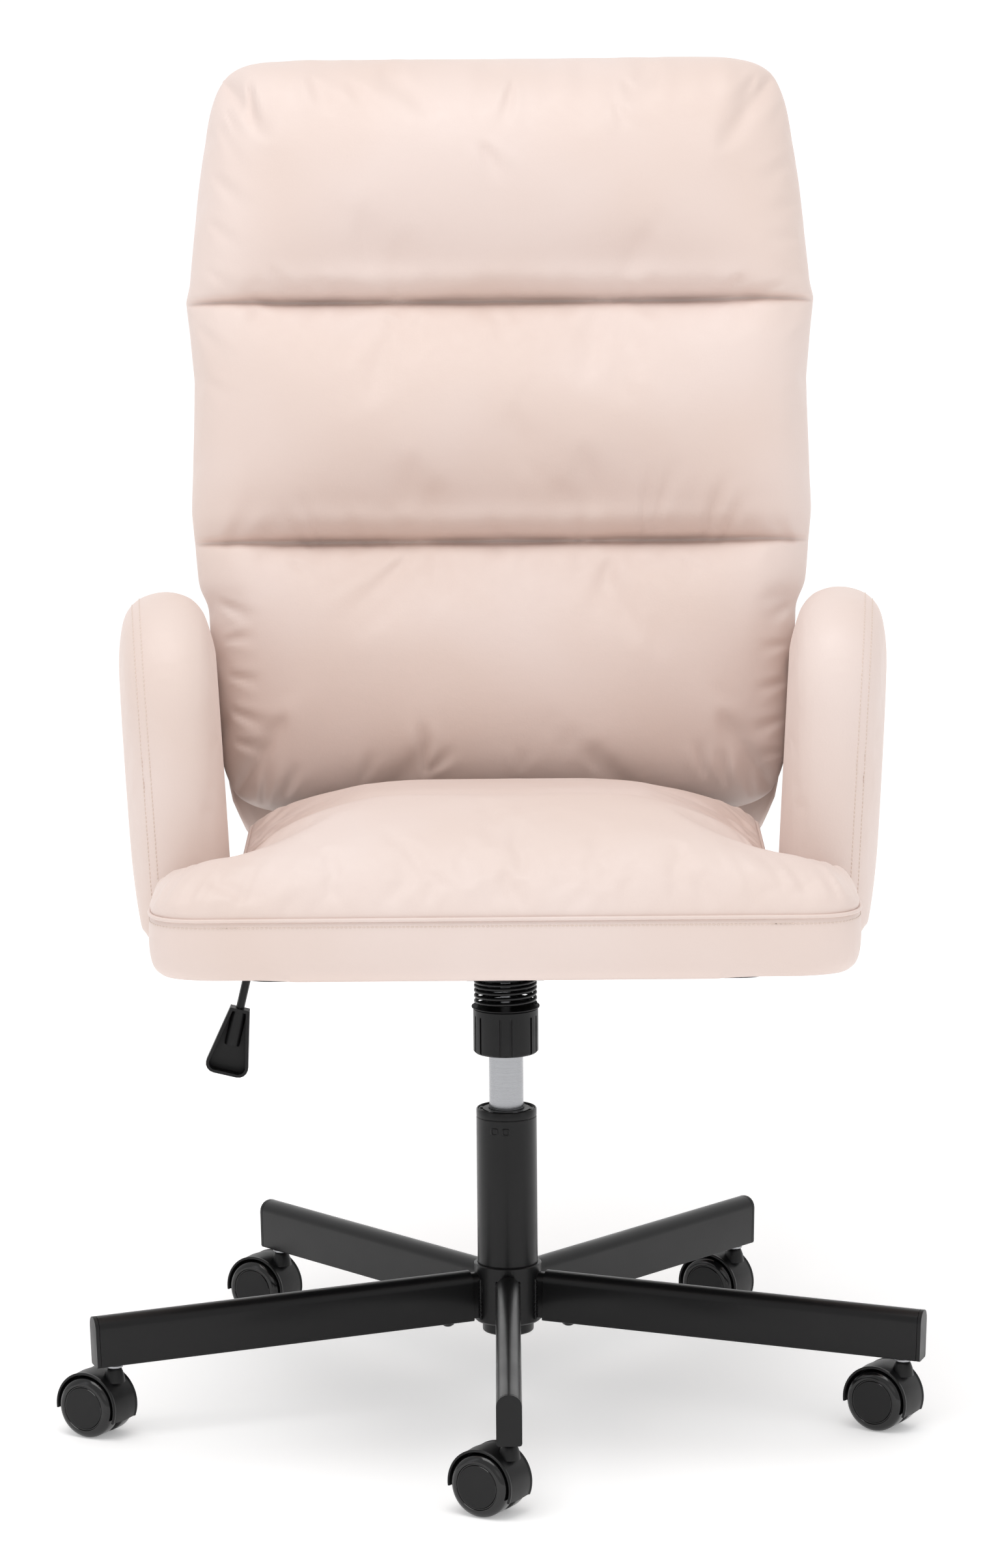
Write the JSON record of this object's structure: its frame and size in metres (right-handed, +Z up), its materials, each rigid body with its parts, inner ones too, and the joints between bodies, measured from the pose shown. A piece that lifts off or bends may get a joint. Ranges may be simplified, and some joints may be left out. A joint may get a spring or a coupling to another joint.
{
  "type": "office chair",
  "caption": "High-back swivel office chair: channelled padded back, T-shaped seat, upholstered arms, gas lift with lever, tilt mechanism with tension knob, star base on twin-wheel casters.",
  "frame": {"origin": "where the gas column's axis meets the floor, under the middle of the star base", "axes": "+Z up, -Y the front of the seat, +X to the right seen from the front"},
  "size_m": [0.7027, 0.7497, 1.0795],
  "materials": {
    "black_steel": "semi-gloss black powder coat",
    "black_nylon": "fine-textured black moulded nylon",
    "caster_tyre": "glossy black moulded wheel",
    "bright_steel": "ground bright steel",
    "spring_steel": "black oiled spring steel",
    "shell_board": "plywood, covered at the back",
    "upholstery": "blush faux leather, soft satin"
  },
  "bodies": {
    "base": {"base_hub": "black_steel", "base_leg_1": "black_steel", "leg_cap_1": "black_nylon", "leg_bolt_1": "black_steel", "base_leg_2": "black_steel", "leg_cap_2": "black_nylon", "leg_bolt_2": "black_steel", "base_leg_3": "black_steel", "leg_cap_3": "black_nylon", "leg_bolt_3": "black_steel", "base_leg_4": "black_steel", "leg_cap_4": "black_nylon", "leg_bolt_4": "black_steel", "base_leg_5": "black_steel", "leg_cap_5": "black_nylon", "leg_bolt_5": "black_steel", "column_tube": "black_steel", "column_bush": "black_nylon"},
    "caster_1": {"caster_stem_1": "bright_steel", "caster_hood_1": "black_nylon", "caster_axle_1": "bright_steel"},
    "wheel_left_1": {"caster_wheel_left_1": "caster_tyre"},
    "wheel_right_1": {"caster_wheel_right_1": "caster_tyre"},
    "caster_2": {"caster_stem_2": "bright_steel", "caster_hood_2": "black_nylon", "caster_axle_2": "bright_steel"},
    "wheel_left_2": {"caster_wheel_left_2": "caster_tyre"},
    "wheel_right_2": {"caster_wheel_right_2": "caster_tyre"},
    "caster_3": {"caster_stem_3": "bright_steel", "caster_hood_3": "black_nylon", "caster_axle_3": "bright_steel"},
    "wheel_left_3": {"caster_wheel_left_3": "caster_tyre"},
    "wheel_right_3": {"caster_wheel_right_3": "caster_tyre"},
    "caster_4": {"caster_stem_4": "bright_steel", "caster_hood_4": "black_nylon", "caster_axle_4": "bright_steel"},
    "wheel_left_4": {"caster_wheel_left_4": "caster_tyre"},
    "wheel_right_4": {"caster_wheel_right_4": "caster_tyre"},
    "caster_5": {"caster_stem_5": "bright_steel", "caster_hood_5": "black_nylon", "caster_axle_5": "bright_steel"},
    "wheel_left_5": {"caster_wheel_left_5": "caster_tyre"},
    "wheel_right_5": {"caster_wheel_right_5": "caster_tyre"},
    "gas_rod": {"piston_rod": "bright_steel"},
    "lift": {"gas_cylinder": "bright_steel", "mechanism_housing": "black_steel", "tilt_pin": "bright_steel"},
    "button": {"release_button": "bright_steel"},
    "lever": {"lever_rod": "black_steel", "lever_paddle": "black_nylon"},
    "seat": {"seat_plate": "black_steel", "tension_bolt": "bright_steel", "shell": "shell_board", "seat_cushion": "upholstery", "back_cushion": "upholstery", "arm_left": "upholstery", "arm_right": "upholstery"},
    "washer": {"spring_washer": "black_steel", "tension_spring": "spring_steel"},
    "knob": {"tension_knob": "black_nylon"}
  },
  "joints": [
    {"name": "caster_1_swivel", "type": "hinge", "parent": "base", "child": "caster_1", "pos_m": [0, -0.334, 0.0571], "axis": [0, 0, 1], "continuous": true},
    {"name": "wheel_left_1_roll", "type": "hinge", "parent": "caster_1", "child": "wheel_left_1", "pos_m": [-0.02112, -0.33478, 0.025], "axis": [-0.515, -0.8572, 0], "continuous": true},
    {"name": "wheel_right_1_roll", "type": "hinge", "parent": "caster_1", "child": "wheel_right_1", "pos_m": [-0.00922, -0.31498, 0.025], "axis": [-0.515, -0.8572, 0], "continuous": true},
    {"name": "caster_2_swivel", "type": "hinge", "parent": "base", "child": "caster_2", "pos_m": [0.31765, -0.10321, 0.0571], "axis": [0, 0, 1], "continuous": true},
    {"name": "wheel_left_2_roll", "type": "hinge", "parent": "caster_2", "child": "wheel_left_2", "pos_m": [0.29653, -0.104, 0.025], "axis": [-0.515, -0.8572, 0], "continuous": true},
    {"name": "wheel_right_2_roll", "type": "hinge", "parent": "caster_2", "child": "wheel_right_2", "pos_m": [0.30843, -0.0842, 0.025], "axis": [-0.515, -0.8572, 0], "continuous": true},
    {"name": "caster_3_swivel", "type": "hinge", "parent": "base", "child": "caster_3", "pos_m": [0.19632, 0.27021, 0.0571], "axis": [0, 0, 1], "continuous": true},
    {"name": "wheel_left_3_roll", "type": "hinge", "parent": "caster_3", "child": "wheel_left_3", "pos_m": [0.1752, 0.26943, 0.025], "axis": [-0.515, -0.8572, 0], "continuous": true},
    {"name": "wheel_right_3_roll", "type": "hinge", "parent": "caster_3", "child": "wheel_right_3", "pos_m": [0.1871, 0.28923, 0.025], "axis": [-0.515, -0.8572, 0], "continuous": true},
    {"name": "caster_4_swivel", "type": "hinge", "parent": "base", "child": "caster_4", "pos_m": [-0.19632, 0.27021, 0.0571], "axis": [0, 0, 1], "continuous": true},
    {"name": "wheel_left_4_roll", "type": "hinge", "parent": "caster_4", "child": "wheel_left_4", "pos_m": [-0.21744, 0.26943, 0.025], "axis": [-0.515, -0.8572, 0], "continuous": true},
    {"name": "wheel_right_4_roll", "type": "hinge", "parent": "caster_4", "child": "wheel_right_4", "pos_m": [-0.20554, 0.28923, 0.025], "axis": [-0.515, -0.8572, 0], "continuous": true},
    {"name": "caster_5_swivel", "type": "hinge", "parent": "base", "child": "caster_5", "pos_m": [-0.31765, -0.10321, 0.0571], "axis": [0, 0, 1], "continuous": true},
    {"name": "wheel_left_5_roll", "type": "hinge", "parent": "caster_5", "child": "wheel_left_5", "pos_m": [-0.33877, -0.104, 0.025], "axis": [-0.515, -0.8572, 0], "continuous": true},
    {"name": "wheel_right_5_roll", "type": "hinge", "parent": "caster_5", "child": "wheel_right_5", "pos_m": [-0.32688, -0.0842, 0.025], "axis": [-0.515, -0.8572, 0], "continuous": true},
    {"name": "column_swivel", "type": "hinge", "parent": "base", "child": "gas_rod", "pos_m": [0, 0, 0.066], "axis": [0, 0, 1], "continuous": true},
    {"name": "height_lift", "type": "slide", "parent": "gas_rod", "child": "lift", "axis": [0, 0, 1], "range_m": [-0.085, 0.01]},
    {"name": "lever_lift", "type": "hinge", "parent": "lift", "child": "lever", "pos_m": [-0.0285, 0, 0.38], "axis": [0, 1, 0], "range_deg": [0, 4], "stiffness_Nm_per_rad": 1.5, "springref_deg": -17.19},
    {"name": "button_press", "type": "slide", "parent": "lift", "child": "button", "axis": [0, 0, 1], "range_m": [-0.0025, 0]},
    {"name": "seat_tilt", "type": "hinge", "parent": "lift", "child": "seat", "pos_m": [0, -0.03, 0.379], "axis": [-1, 0, 0], "range_deg": [0, 8], "stiffness_Nm_per_rad": 180, "springref_deg": -17.19, "deforming": ["tension_spring"]},
    {"name": "knob_travel", "type": "slide", "parent": "seat", "child": "washer", "axis": [0, 0, 1], "range_m": [-0.003, 0]},
    {"name": "knob_turn", "type": "hinge", "parent": "washer", "child": "knob", "pos_m": [0, -0.09, 0.3285], "axis": [0, 0, 1], "range_deg": [0, 720]}
  ],
  "couplings": [
    {"joint": "button_press", "follows": "lever_lift", "m_per_rad": -0.033},
    {"joint": "knob_travel", "follows": "knob_turn", "m_per_rad": -0.00023873}
  ]
}
